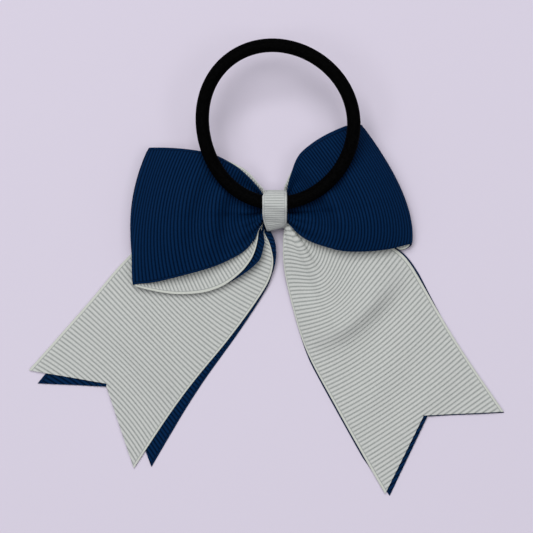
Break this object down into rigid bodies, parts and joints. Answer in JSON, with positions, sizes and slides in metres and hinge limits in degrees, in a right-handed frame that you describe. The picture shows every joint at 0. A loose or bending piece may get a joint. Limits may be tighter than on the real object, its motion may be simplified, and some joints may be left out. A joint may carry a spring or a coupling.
{
  "type": "hair bow",
  "caption": "Two-colour double ribbon bow with two loops and two swallowtail ends, wrapped at the knot onto a round hair elastic.",
  "frame": {"origin": "middle of the footprint, at the surface that the bow lies on, front face down", "axes": "+X to the right loop seen from the back, +Y from the knot to the free end of the elastic, +Z from the bow's front to its back"},
  "size_m": [0.13, 0.1188, 0.0209],
  "materials": {
    "navy_ribbon": "ribbed grosgrain, satin",
    "silver_ribbon": "ribbed grosgrain, satin",
    "silver_wrap": "narrow ribbed grosgrain, satin",
    "thread": "twisted polyester thread",
    "glue": "cured hot glue",
    "elastic_knit": "matt black knitted cover",
    "elastic_rubber": "round rubber strands"
  },
  "bodies": {
    "knot": {"navy_loop_left": "navy_ribbon", "silver_loop_left": "silver_ribbon", "navy_loop_right": "navy_ribbon", "silver_loop_right": "silver_ribbon", "gather_front_navy": "navy_ribbon", "gather_front_silver": "silver_ribbon", "gather_middle_navy": "navy_ribbon", "gather_middle_silver": "silver_ribbon", "gather_back_navy": "navy_ribbon", "gather_back_silver": "silver_ribbon", "binding_thread": "thread", "hot_glue": "glue", "centre_wrap": "silver_wrap"},
    "elastic": {"elastic_cover": "elastic_knit", "elastic_core": "elastic_rubber", "elastic_join": "elastic_knit"},
    "left_tail": {"navy_tail_left": "navy_ribbon", "silver_tail_left": "silver_ribbon"},
    "right_tail": {"navy_tail_right": "navy_ribbon", "silver_tail_right": "silver_ribbon"}
  },
  "joints": [
    {"name": "elastic_tilt", "type": "hinge", "parent": "knot", "child": "elastic", "pos_m": [0.00103, 0.01827, 0.0108], "axis": [1, 0, 0], "range_deg": [0, 140]},
    {"name": "left_tail_swing", "type": "hinge", "parent": "knot", "child": "left_tail", "pos_m": [-0.00267, 0.01787, 0.0015], "axis": [0.7141, -0.7001, 0], "range_deg": [0, 35]},
    {"name": "right_tail_swing", "type": "hinge", "parent": "knot", "child": "right_tail", "pos_m": [0.00473, 0.01477, 0.0033], "axis": [0.8123, 0.5832, 0], "range_deg": [0, 35]}
  ]
}
